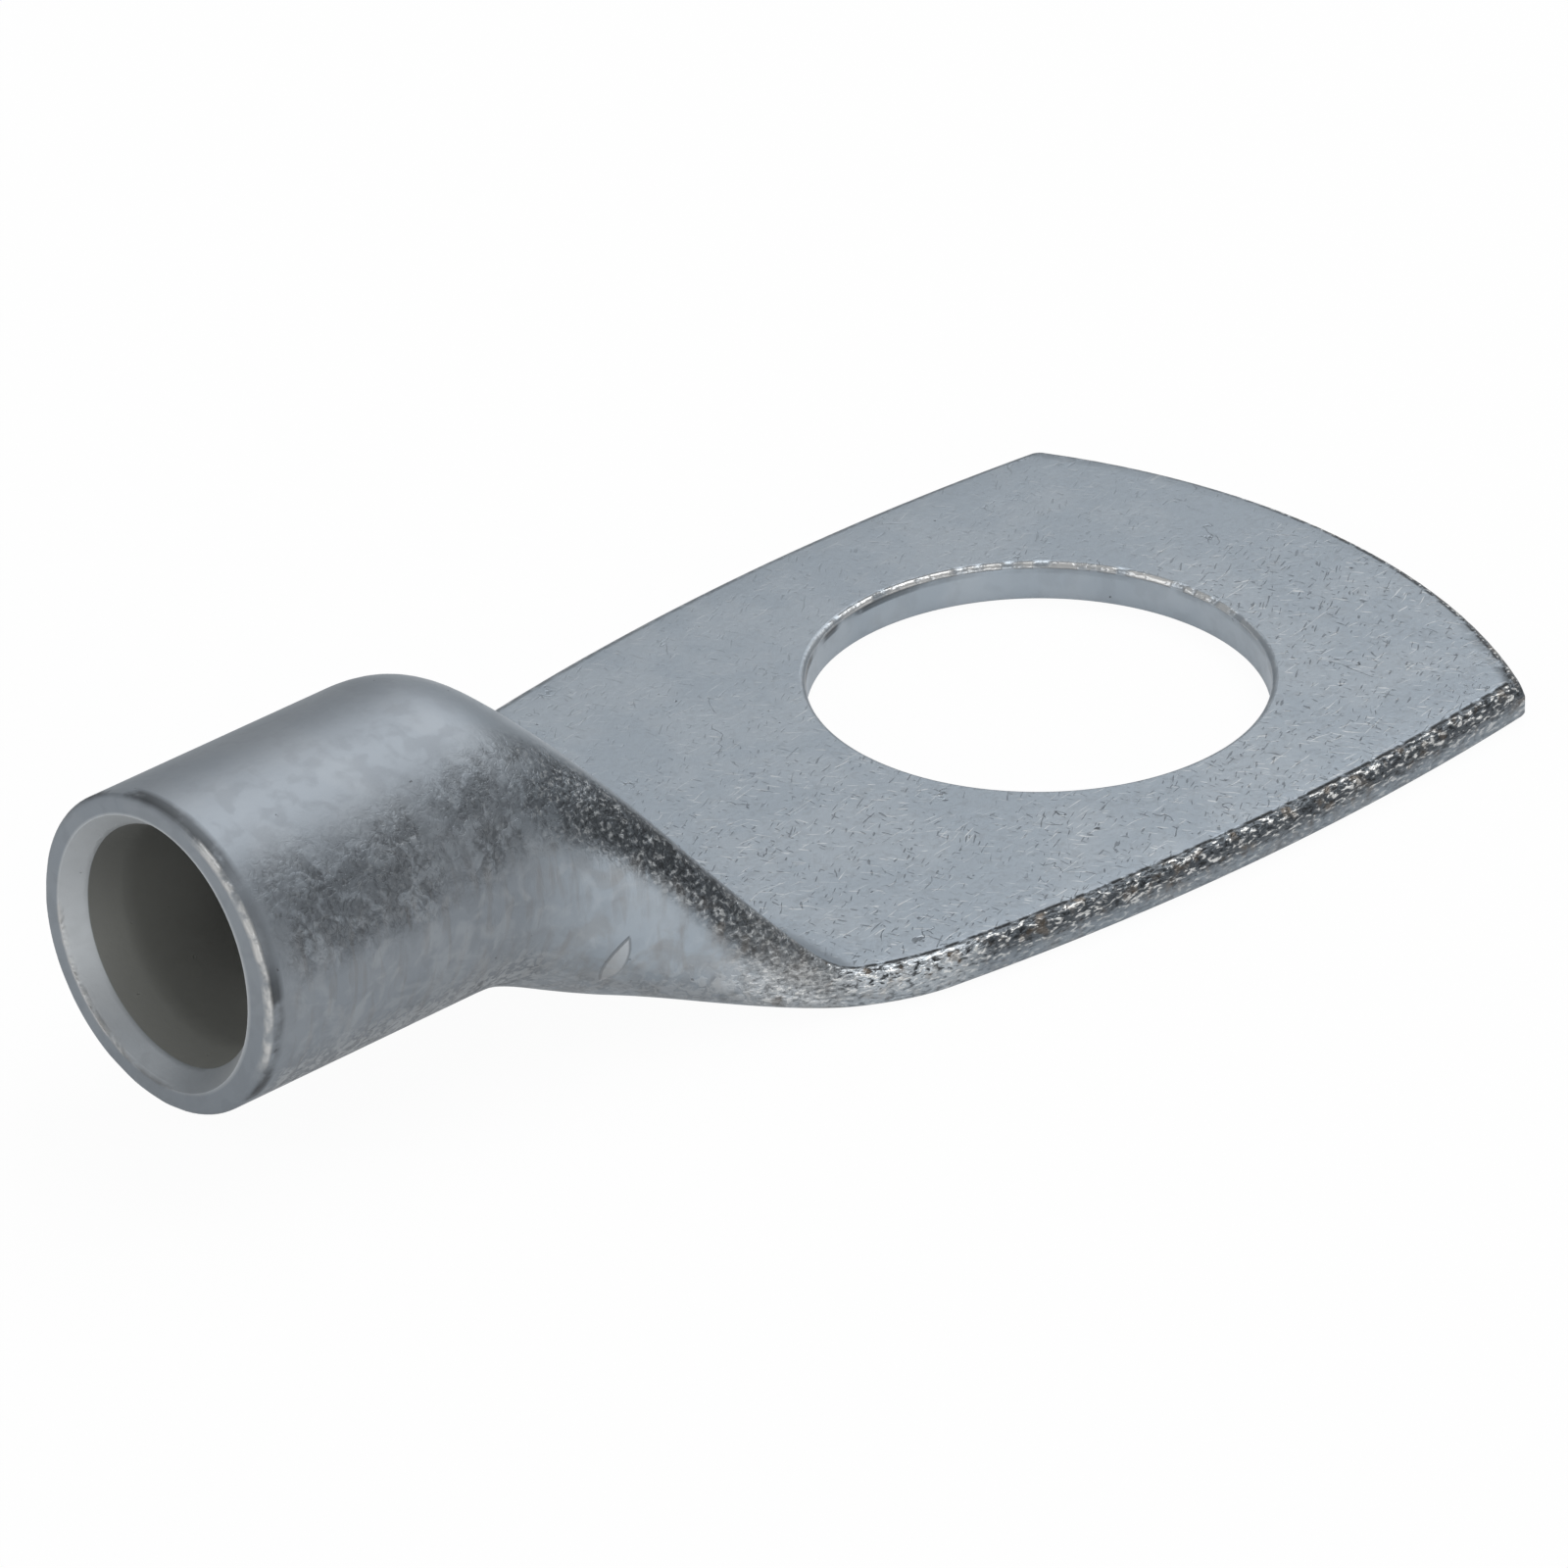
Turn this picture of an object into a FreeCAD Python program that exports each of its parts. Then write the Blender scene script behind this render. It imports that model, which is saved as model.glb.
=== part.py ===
import FreeCAD, Part
import math
import os

Vector = FreeCAD.Vector

# Sizes in millimetres. The origin is the middle of the stud hole, on the palm's contact face.
# +X runs to the palm's tip, +Z up, and the barrel's mouth faces -X.

# Palm with the stud hole
STUD_HOLE_RADIUS = 6.5
HOLE_TO_SIDE = 3.87
HOLE_TO_TIP = 5.52
HOLE_TO_NECK = 5.9
PALM_THICKNESS = 1.15
PALM_HALF_WIDTH = STUD_HOLE_RADIUS + HOLE_TO_SIDE
PALM_SIDE_ARC_RADIUS = 80.0
TIP_REACH = STUD_HOLE_RADIUS + HOLE_TO_TIP
TIP_ARC_RADIUS = 19.45
TIP_CORNER_RADIUS = 0.6
SHOULDER_SHARE = 0.4
UNDER_EDGE_SHARE = 0.15
HOLE_EDGE_CUT = 0.18 * PALM_THICKNESS

# Barrel, the tube that takes the conductor
BARREL_RADIUS = 4.54
BARREL_WALL = 1.32
BORE_RADIUS = BARREL_RADIUS - BARREL_WALL
BARREL_LIFT = 0.8
BARREL_LENGTH = 9.2
BARREL_AXIS_Z = BARREL_LIFT + BARREL_RADIUS
ENTRY_WIDTH = 0.55 * BARREL_WALL
ENTRY_DEPTH = 0.34 * BARREL_WALL
RIM_CUT = 0.09 * BARREL_WALL

# Neck, where the round tube is pressed flat and closes. Its top comes down to the palm at the
# crease, while its sides go on widening as far as the flat start.
NECK_LENGTH = 10.9
FLAT_START_X = -(STUD_HOLE_RADIUS + HOLE_TO_NECK)
NECK_START_X = FLAT_START_X - NECK_LENGTH
MOUTH_X = NECK_START_X - BARREL_LENGTH
FALL_START_X = NECK_START_X - 0.06 * NECK_LENGTH
ROUND_END_X = FALL_START_X - 1.0
CREASE_X = NECK_START_X + 0.74 * NECK_LENGTH
CREASE_BLEND = 0.5
FALL_POWERS = (1.96, 1.0)
WIDEN_POWERS = (1.4, 1.7)
LIFT_END_SHARE = 0.33
OVER_SQUARE_SHARE = 0.5
OVER_SQUARE_POWERS = (2.66, 3.0)
UNDER_SQUARE_SHARE = 0.98
UNDER_SQUARE_POWERS = (1.4, 2.45)
NECK_STATION_COUNT = 8
BORE_CLOSE_SHARE = 0.53
BORE_STATIONS = (0.25, 0.5, 0.75, 1.0)
BORE_CLOSE_POWERS = (1.8, 1.0)
BORE_SLIT_HALF = 0.12
SQUARE_RUN = 3.4
CIRCLE_JOINT_ANGLE = 8.0
SIDE_STEPS = 6
FLARE_STEPS = 3


def smooth(share):
    """Rise from 0 to 1 that starts and ends level."""
    share = min(max(share, 0.0), 1.0)
    return share * share * (3.0 - 2.0 * share)


def between(start, end, share):
    return start + (end - start) * share


def press(share, powers):
    """Rise from 0 to 1 that starts and ends more gently the higher its two powers are."""
    share = min(max(share, 0.0), 1.0)
    done = share ** powers[0]
    return done / (done + (1.0 - share) ** powers[1])


def half_width(x):
    """Half width at x: the palm's bowed side, drawn in towards the barrel along the neck."""
    palm = PALM_HALF_WIDTH - PALM_SIDE_ARC_RADIUS + math.sqrt(PALM_SIDE_ARC_RADIUS ** 2 - x ** 2)
    return between(BARREL_RADIUS, palm, press((x - NECK_START_X) / NECK_LENGTH, WIDEN_POWERS))


def tip_corner():
    """Corner where the bowed side meets the bowed tip: two circles centred on the X axis and the Y axis."""
    tip_x = TIP_REACH - TIP_ARC_RADIUS
    side_y = PALM_HALF_WIDTH - PALM_SIDE_ARC_RADIUS
    gap = math.hypot(tip_x, side_y)
    along = (TIP_ARC_RADIUS ** 2 - PALM_SIDE_ARC_RADIUS ** 2 + gap ** 2) / (2.0 * gap)
    across = math.sqrt(TIP_ARC_RADIUS ** 2 - along ** 2)
    step_x = -tip_x / gap
    step_y = side_y / gap
    return tip_x + along * step_x - across * step_y, along * step_y + across * step_x


def spline(points, end_tangent=None):
    """Smooth edge through the points, leaving the last one along a given direction."""
    curve = Part.BSplineCurve()
    if end_tangent is None:
        curve.interpolate(points)
    else:
        leaves = [False] * (len(points) - 1) + [True]
        curve.interpolate(Points=points, Tangents=[end_tangent] * len(points), TangentFlags=leaves)
    return curve.toShape()


def corner_points(x, centre, reach, start):
    """Points of a quarter of an ellipse in the plane at x, anticlockwise from the angle start."""
    points = []
    for step in range(SIDE_STEPS + 1):
        turn = math.radians(start + 90.0 * step / SIDE_STEPS)
        points.append(Vector(x, centre[0] + reach[0] * math.cos(turn), centre[1] + reach[1] * math.sin(turn)))
    return points


def line_points(x, start, end):
    points = []
    for step in range(SIDE_STEPS + 1):
        share = step / SIDE_STEPS
        points.append(Vector(x, between(start[0], end[0], share), between(start[1], end[1], share)))
    return points


def pressed_sides(x, half, bottom, top, under, over):
    """Eight sides of a pressed section: level below and above, with rounded corners under and over."""
    low = bottom + under[1]
    high = top - over[1]
    under_run = half - under[0]
    over_run = half - over[0]
    return [
        line_points(x, (-under_run, bottom), (under_run, bottom)),
        corner_points(x, (under_run, low), under, -90.0),
        line_points(x, (half, low), (half, high)),
        corner_points(x, (over_run, high), over, 0.0),
        line_points(x, (over_run, top), (-over_run, top)),
        corner_points(x, (-over_run, high), over, 90.0),
        line_points(x, (-half, high), (-half, low)),
        corner_points(x, (-under_run, low), under, 180.0),
    ]


def arc_stops():
    """Angles in degrees at which the tube's circle is split, to pair with pressed_sides."""
    stops = []
    for middle in (-90.0, 0.0, 90.0, 180.0):
        stops += [middle - CIRCLE_JOINT_ANGLE, middle + CIRCLE_JOINT_ANGLE]
    return stops + [stops[0] + 360.0]


def oval_sides(x, half, bottom, top):
    """The tube's circle squeezed to a width and height, as points of its eight arcs."""
    stops = arc_stops()
    sides = []
    for first, last in zip(stops[:-1], stops[1:]):
        points = []
        for step in range(SIDE_STEPS + 1):
            turn = math.radians(between(first, last, step / SIDE_STEPS))
            rise = 0.5 + 0.5 * math.sin(turn)
            points.append(Vector(x, half * math.cos(turn), between(bottom, top, rise)))
        sides.append(points)
    return sides


def wire_between(oval, pressed, share):
    """Wire that passes from an oval to a pressed section as share goes from 0 to 1."""
    edges = []
    for oval_side, pressed_side in zip(oval, pressed):
        edges.append(spline([start + (end - start) * share for start, end in zip(oval_side, pressed_side)]))
    return Part.Wire(edges)


def round_wire(x, radius):
    """The tube's circle at x, as eight exact arcs."""
    stops = arc_stops()
    edges = []
    for first, last in zip(stops[:-1], stops[1:]):
        points = []
        for angle in (first, (first + last) / 2.0, last):
            turn = math.radians(angle)
            points.append(Vector(x, radius * math.cos(turn), BARREL_AXIS_Z + radius * math.sin(turn)))
        edges.append(Part.Arc(*points).toShape())
    return Part.Wire(edges)


def level_edges(plate, height):
    """Outline edges of the plate at one height, apart from the straight one at the neck."""
    found = []
    for edge in plate.Edges:
        box = edge.BoundBox
        level = abs(box.ZMin - height) < 1e-6 and abs(box.ZMax - height) < 1e-6
        if level and box.XLength > 1e-6:
            found.append(edge)
    return found


def make_palm():
    """Flat palm with bowed tip and flaring sides, its upper edge rolled over more than the lower one."""
    corner_x, corner_y = tip_corner()
    flare = []
    for step in range(FLARE_STEPS + 1):
        x = between(CREASE_X + CREASE_BLEND, FLAT_START_X, step / FLARE_STEPS)
        flare.append(Vector(x, -half_width(x), 0))
    centre_y = PALM_SIDE_ARC_RADIUS - PALM_HALF_WIDTH
    along_side = Vector(centre_y - flare[-1].y, flare[-1].x, 0).normalize()
    near = [
        spline(flare, along_side),
        Part.Arc(flare[-1], Vector(0, -PALM_HALF_WIDTH, 0), Vector(corner_x, -corner_y, 0)).toShape(),
    ]
    far = [edge.mirror(Vector(0, 0, 0), Vector(0, 1, 0)) for edge in reversed(near)]
    tip_ends = [Vector(corner_x, -corner_y, 0), Vector(TIP_REACH, 0, 0), Vector(corner_x, corner_y, 0)]
    back = Part.makeLine(Vector(flare[0].x, -flare[0].y, 0), flare[0])
    outline = Part.Wire(near + [Part.Arc(*tip_ends).toShape()] + far + [back])
    plate = Part.Face(outline).extrude(Vector(0, 0, PALM_THICKNESS))
    corners = [edge for edge in plate.Edges if edge.BoundBox.XLength < 1e-6 and edge.BoundBox.XMin > 0.0]
    plate = plate.makeFillet(TIP_CORNER_RADIUS, corners)
    plate = plate.makeFillet(SHOULDER_SHARE * PALM_THICKNESS, level_edges(plate, PALM_THICKNESS))
    return plate.makeFillet(UNDER_EDGE_SHARE * PALM_THICKNESS, level_edges(plate, 0.0))


def start_wire(plate):
    """The palm's own end section, its edges taken round from the lower level one."""
    end_face = min(plate.Faces, key=lambda face: face.CenterOfMass.x)

    def turn_of(edge):
        centre = edge.CenterOfMass
        turn = math.atan2(centre.z - PALM_THICKNESS / 2.0, centre.y)
        return turn + 2.0 * math.pi if turn < -math.pi / 2.0 - 0.01 else turn

    return Part.Wire(sorted(end_face.Edges, key=turn_of))


def neck_top(x):
    """Height of the neck's top: a steep fall from the barrel that runs out level on the palm."""
    blend_x = CREASE_X - CREASE_BLEND
    share = (min(x, blend_x) - FALL_START_X) / (CREASE_X - FALL_START_X)
    rise = (BARREL_AXIS_Z + BARREL_RADIUS - PALM_THICKNESS) * (1.0 - press(share, FALL_POWERS))
    left = min((CREASE_X + CREASE_BLEND - x) / (2.0 * CREASE_BLEND), 1.0)
    return PALM_THICKNESS + rise * left ** 2


def neck_section(x):
    """Section of the neck at x, squarer the further it is pressed, above sooner than below."""
    share = (x - NECK_START_X) / NECK_LENGTH
    bottom = BARREL_LIFT * (1.0 - smooth(share / LIFT_END_SHARE))
    top = neck_top(x)
    over_round = 1.0 - press(share / OVER_SQUARE_SHARE, OVER_SQUARE_POWERS)
    under_round = 1.0 - press(share / UNDER_SQUARE_SHARE, UNDER_SQUARE_POWERS)
    over_z = (top - bottom) * between(SHOULDER_SHARE, 0.54, over_round)
    under_z = (top - bottom) * between(UNDER_EDGE_SHARE, 0.44, under_round)
    half = half_width(x)
    over = (between(over_z, 0.98 * half, over_round), over_z)
    under = (between(under_z, 0.98 * half, under_round), under_z)
    squared = smooth((x - FALL_START_X) / SQUARE_RUN)
    return wire_between(oval_sides(x, half, bottom, top), pressed_sides(x, half, bottom, top, under, over), squared)


def make_neck(end_wire):
    """Smooth run from the round tube to the palm, widening as it flattens."""
    blend_x = CREASE_X - CREASE_BLEND
    wires = [round_wire(ROUND_END_X, BARREL_RADIUS), round_wire(FALL_START_X, BARREL_RADIUS)]
    for station in range(1, NECK_STATION_COUNT + 1):
        wires.append(neck_section(between(FALL_START_X, blend_x, station / NECK_STATION_COUNT)))
    wires.append(neck_section(CREASE_X - CREASE_BLEND / 3.0))
    wires.append(neck_section(CREASE_X + CREASE_BLEND / 3.0))
    wires.append(end_wire)
    return Part.makeLoft(wires, True, False)


def make_bore():
    """Straight bore with a countersunk mouth, closing to a slit where the neck is pressed flat."""
    axis = Vector(1, 0, 0)
    straight = Part.makeCylinder(BORE_RADIUS, BARREL_LENGTH, Vector(MOUTH_X, 0, BARREL_AXIS_Z), axis)
    entry = Part.makeCone(BORE_RADIUS + ENTRY_WIDTH, BORE_RADIUS, ENTRY_DEPTH, Vector(MOUTH_X, 0, BARREL_AXIS_Z), axis)
    wires = [round_wire(NECK_START_X, BORE_RADIUS)]
    slit_z = between(PALM_THICKNESS, BARREL_AXIS_Z, 0.22)
    for share in BORE_STATIONS:
        x = NECK_START_X + share * BORE_CLOSE_SHARE * NECK_LENGTH
        closed = press(share, BORE_CLOSE_POWERS)
        inner_half = half_width(x) - BARREL_WALL
        inner_bottom = between(BARREL_AXIS_Z - BORE_RADIUS, slit_z - BORE_SLIT_HALF, closed)
        inner_top = between(BARREL_AXIS_Z + BORE_RADIUS, slit_z + BORE_SLIT_HALF, closed)
        height = inner_top - inner_bottom
        corner = (between(0.9 * inner_half, 0.5 * height, closed), 0.45 * height)
        oval = oval_sides(x, inner_half, inner_bottom, inner_top)
        pressed = pressed_sides(x, inner_half, inner_bottom, inner_top, corner, corner)
        wires.append(wire_between(oval, pressed, smooth((x - NECK_START_X) / SQUARE_RUN)))
    return [straight, entry, Part.makeLoft(wires, True, False)]


def circles_at(body, centre, radius):
    """Edges of the body on the circle with this centre and radius."""
    found = []
    for edge in body.Edges:
        if isinstance(edge.Curve, Part.Circle):
            near = edge.Curve.Center.distanceToPoint(centre) < 1e-6
            if near and abs(edge.Curve.Radius - radius) < 1e-6:
                found.append(edge)
    return found


def break_edges(body):
    """Broken upper edge of the stud hole and outer rim of the mouth."""
    body = body.makeChamfer(HOLE_EDGE_CUT, circles_at(body, Vector(0, 0, PALM_THICKNESS), STUD_HOLE_RADIUS))
    return body.makeChamfer(RIM_CUT, circles_at(body, Vector(MOUTH_X, 0, BARREL_AXIS_Z), BARREL_RADIUS))


plate = make_palm()
tube_end = Vector(MOUTH_X, 0, BARREL_AXIS_Z)
tube = Part.makeCylinder(BARREL_RADIUS, ROUND_END_X - MOUTH_X, tube_end, Vector(1, 0, 0))
body = plate.fuse([make_neck(start_wire(plate)), tube])
stud_hole = Part.makeCylinder(STUD_HOLE_RADIUS, 3.0 * PALM_THICKNESS, Vector(0, 0, -PALM_THICKNESS))
body = body.cut([stud_hole] + make_bore())
lug = break_edges(body)
os.makedirs("parts", exist_ok=True)
lug.exportStep("parts/cable_lug.step")
print("solids", len(lug.Solids), "valid", lug.isValid(), "volume", round(lug.Volume, 1))
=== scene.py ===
import math

import bmesh
import bpy
from mathutils import Matrix, Vector, noise


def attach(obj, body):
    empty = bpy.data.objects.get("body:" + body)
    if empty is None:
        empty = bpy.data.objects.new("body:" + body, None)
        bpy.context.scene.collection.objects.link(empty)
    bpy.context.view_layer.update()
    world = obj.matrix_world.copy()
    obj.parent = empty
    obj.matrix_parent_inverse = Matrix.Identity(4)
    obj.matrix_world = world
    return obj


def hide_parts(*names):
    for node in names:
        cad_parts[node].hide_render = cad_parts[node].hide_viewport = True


bl_info = {
    "name": "Ring Terminal",
    "version": (1, 0, 0),
    "blender": (4, 5, 0),
    "location": "View3D > Sidebar > Ring Terminal",
    "description": "Builds a tin-plated copper ring terminal on a pale studio floor",
    "category": "Object",
}

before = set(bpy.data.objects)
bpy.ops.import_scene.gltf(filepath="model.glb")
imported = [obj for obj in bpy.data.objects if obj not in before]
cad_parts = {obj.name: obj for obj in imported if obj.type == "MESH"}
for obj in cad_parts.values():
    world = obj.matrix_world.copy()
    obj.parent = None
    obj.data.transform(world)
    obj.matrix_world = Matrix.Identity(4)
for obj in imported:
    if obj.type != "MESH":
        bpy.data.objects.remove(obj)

NODE = "cable_lug"
MM = 0.001

# Segments of one ring of the shell
LEVEL_STEPS = 26
CORNER_STEPS = 22
SIDE_STEPS = 6
JOINT_ANGLE = math.radians(8.0)

# Rings of each stretch of the shell
STEPS = {"closing": 26, "bore": 20, "lead": 6, "entry": 6, "face": 5, "rim": 6, "barrel": 40, "neck": 96,
         "palm": 60, "roll": 8}

# Corners of a pressed section as shares of its height, above and below, on the palm and on the tube
SHOULDER_SHARE = 0.4
UNDER_SHARE = 0.15
TUBE_SHOULDER_SHARE = 0.54
TUBE_UNDER_SHARE = 0.44
TUBE_CORNER_REACH = 0.98
LEAST_ROUND = 0.02 * MM

# Where the changes along the neck start and end, mostly as shares of its length
FALL_LEAD_SHARE = 0.06
LIFT_END_SHARE = 0.33
OVER_END_SHARE = 0.5
UNDER_END_SHARE = 0.98
BORE_CLOSE_SHARE = 0.53
SQUARE_RUN = 3.4 * MM

# How gently these changes start and end
WIDTH_POWERS = (1.4, 1.7)
FALL_POWERS = (1.96, 1.0)
OVER_POWERS = (2.66, 3.0)
UNDER_POWERS = (1.4, 2.45)
CLOSE_POWERS = (1.8, 1.0)

# Slit that the bore is pinched to
SLIT_RISE_SHARE = 0.22
SLIT_HALF_GAP = 0.12 * MM
SLIT_CORNER_SHARE = 0.47
BORE_CORNER_REACH = 0.97

# Share of the lead's length where its last ring but one stands
LEAD_LAST_SHARE = 0.97

# Mouth: wear of its rim, and how far the opening is drawn in on the thicker side of the wall
RIM_WEAR = 0.05 * MM
RIM_WEAR_SIZE = 0.7 * MM
OPENING_LEAN = 0.08

# Stud hole: radius and turn of its rolled edge, and the lines on its wall, as shares of the thickness
HOLE_ROLL_SHARE = 0.18
HOLE_ROLL_TURN = math.radians(84.0)
HOLE_WALL_HEIGHTS = (0.62, 0.70, 0.76)

# Brim round the stud hole: its width, and the height from which it is level, of the thickness
HOLE_RIM_SHARE = 0.2
BRIM_LEVEL_SHARE = 0.99

# Tool that cuts the stud hole: its wider foot, its spread and rise above the brim, and its facets
HOLE_FOOT = 0.05 * MM
HOLE_FOOT_RELIEF = 0.04 * MM
TOOL_SPREAD_SHARE = 0.9
TOOL_RISE_SHARE = 0.24
TOOL_STEPS = 192

# Edges that turn more than this are sharp
SHARP_ANGLE = math.radians(25.0)

# Colours of the plating, each set by a value of the same name
TONES = ("tin", "bright", "shine", "dull", "tarnish_and_shade", "stain", "cut", "bore")

# Finishes, painted light and painted shade that keep to one place, each an attribute of the piece's points
MARKS = ("grain_and_dark_reflection", "flank", "barrel", "belly", "sparkle", "edge", "lip", "level", "shadow_line_and_wear", "burr_and_highlight", "cone",
         "bore", "bore_top_shade", "deep_bore_light")

# Leaf-shaped dent of the press, where two balls cross: their middles and soft edge in millimetres
PRESS_MARK_CENTRES = ((-21.80, -4.26, 2.88), (-19.40, -5.50, 1.72))
PRESS_MARK_EDGE = (1.79, 1.67)

# Grain of the sheared edge, drawn out along the terminal and pressed together upwards
EDGE_GRAIN_STRETCH = (0.6, 1.0, 1.6)

# Turn of the surface, as a part of its normal, from which it counts as a side, level, flank or belly
SIDE_TURN = (0.2, 0.5)
LEVEL_TURN = (0.9, 1.0)
FLANK_TURN = (0.15, 0.5)
BELLY_TURN = (0.3, 0.65)

# Dark band on the shoulder, a painted dark reflection with grain: where it bends and is pressed; drops and
# reaches on tube, neck and palm
BAND_BEND = (-26.0 * MM, -18.0 * MM)
BAND_PRESS = (-18.0 * MM, -14.5 * MM)
BAND_DROPS = (2.5 * MM, 1.15 * MM, 0.4 * MM)
BAND_REACHES = (1.9 * MM, 1.5 * MM, 0.7 * MM)
BAND_CORE_SHARE = 0.35

# Lengths over which marks fade along the terminal, from the crease, the mouth or the barrel's end
FLAT_FADE = (-1.5 * MM, 0.7 * MM)
TUBE_FADE = (0.3 * MM, 1.2 * MM)
DEEP_FADE = (1.5 * MM, 8.0 * MM)
BARREL_FADE = (-1.0 * MM, 3.5 * MM)
BELLY_FADE = (0.0, 3.0 * MM)
FOOT_FADE = (-1.0 * MM, 2.0 * MM)

# Foot of the neck's flank, which looks like the belly: its heights and strength
FOOT_HEIGHTS = (1.0 * MM, 2.4 * MM)
FOOT_STRENGTH = 0.8

# Bore: where it ends, as a share of the neck, and the heights from its axis where its top is darkened with
# painted shade
BORE_MARK_SHARE = 0.54
BORE_TOP_HEIGHTS = (-1.5 * MM, 2.5 * MM)

# Sheared edge, darkened with painted dark reflection, and the painted dark line along its lip: where the
# bowed sides end, depth in from the outline, and heights
SIDE_END = 9.4 * MM
EDGE_DEPTH = (0.26 * MM, 0.40 * MM)
LIP_LINE = (0.36 * MM, 0.03 * MM, 0.09 * MM)
LIP_HEIGHTS = (1.0 * MM, 1.1 * MM)

# Where marks are weak, where they are full, and their least strength: at the foot, then to the far side
EDGE_FOOT = (0.25 * MM, 0.80 * MM, 0.36)
CORNER_FOOT = (0.3 * MM, 0.8 * MM, 0.45)
EDGE_FAR = (6.0 * MM, 0.0, 0.35)
LIP_FAR = (5.0 * MM, 0.0, 0.3)
LEVEL_FAR = (7.0 * MM, -3.0 * MM, 0.4)

# Bent corners with painted glints and sheen: middle, core and reach along the terminal, then out from its
# axis
CORNER_RUN = (-14.6 * MM, 2.0 * MM, 3.8 * MM)
CORNER_OUT = (5.2 * MM, 6.8 * MM)
CORNER_DARK_BAND_SHARE = 0.8

# Lines at the mouth, across the face and the rim, among them painted shadow lines and painted highlights
FACE_FADE = (0.05 * MM, 0.16 * MM)
RIM_FADE = (-0.26 * MM, -0.14 * MM)
RIM_LINE = (0.22 * MM, 0.10 * MM, 0.24 * MM)
RIM_LEAST_SHADOW_WEAR = 0.35
BRINK_FADE = (0.03 * MM, 0.10 * MM)
CONE_FADE = 0.04 * MM
CONE_SLACK = 0.01 * MM
CONE_DARK_STRENGTH = 0.45

# Middle, core and reach of these lines round the mouth, in degrees from the top towards the near side
RIM_DARK_ARCS = ((-5.0, 35.0, 60.0), (104.0, 22.0, 40.0))
RIM_PALE_ARC = (68.0, 32.0, 55.0)
BRINK_DARK_ARCS = ((-180.0, 20.0, 45.0), (180.0, 10.0, 20.0))
BRINK_PALE_ARC = (-125.0, 22.0, 45.0)
CONE_DARK_ARC = (180.0, 15.0, 60.0)

# Painted shade line and painted highlight round the stud hole: the way they face, heights as shares of the
# thickness, and weaker parts
HOLE_FAR_WAY = (0.68, 0.73)
HOLE_PALE_LINE = (0.93, 0.05, 0.068)
HOLE_PALE_PART = (0.3, 0.8, 0.25)
HOLE_DARK_LINE = (0.82, 0.04, 0.11)
HOLE_DARK_PART = (0.2, 0.8, 0.25)

# Softboxes: azimuth and elevation in degrees, distance and size in millimetres, power in watts
SOFTBOXES = {
    "over_lamp": (100.0, 61.6, 520.0, (480.0, 380.0), 1.66),
    "front_lamp": (-22.0, 9.0, 480.0, (300.0, 130.0), 0.40),
    "left_lamp": (-110.0, 35.0, 480.0, (200.0, 260.0), 0.40),
}
SOFTBOX_AIM = Vector((-10.0 * MM, 0.0, 4.0 * MM))

# Camera: azimuth, elevation and roll in degrees, what it looks at and from how far
CAMERA_TURN = (-43.06, 29.43, -0.77)
CAMERA_AIM = Vector((-7.94, 1.97, 0.0)) * MM
CAMERA_DISTANCE = 379.97 * MM

# Floor and surroundings, with how white the floor shows to the camera and in reflections
FLOOR_DROP = 0.05 * MM
FLOOR_SHOWN = 0.96
FLOOR_REFLECTED = 0.40
SKY = (0.345, 0.35, 0.355, 1.0)


def smooth(share):
    """Rise from 0 to 1 that starts and ends level."""
    share = min(max(share, 0.0), 1.0)
    return share * share * (3.0 - 2.0 * share)


def between(start, end, share):
    """Value that lies a share of the way from start to end."""
    return start + (end - start) * share


def press(share, start_power, end_power):
    """Rise from 0 to 1 that starts and ends more gently the higher its two powers are."""
    share = min(max(share, 0.0), 1.0)
    done = share ** start_power
    return done / (done + (1.0 - share) ** end_power)


def ramp(value, low, high):
    """0 up to low, 1 from high on, and a smooth rise between them."""
    return smooth((value - low) / (high - low))


def band(value, middle, inner, outer):
    """1 within inner of the middle, 0 from outer on."""
    return 1.0 - ramp(abs(value - middle), inner, outer)


def weakened(value, weak, full, least):
    """Least strength at weak and beyond, 1 at full and beyond, and a smooth rise between them."""
    return between(least, 1.0, ramp(value, weak, full))


def steps_of(start, end, count):
    """Even steps from start to end, without the start itself."""
    return [between(start, end, (number + 1) / count) for number in range(count)]


def length_property(name, description, millimetres):
    return bpy.props.FloatProperty(name=name, description=description, default=millimetres * MM,
                                   min=0.0, subtype="DISTANCE", unit="LENGTH", precision=5)


def colour_property(name, description, colour):
    return bpy.props.FloatVectorProperty(name=name, description=description, default=colour,
                                         size=3, min=0.0, max=1.0, subtype="COLOR")


def factor_property(name, description, value):
    return bpy.props.FloatProperty(name=name, description=description, default=value,
                                   min=0.0, max=1.0, subtype="FACTOR")


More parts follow.
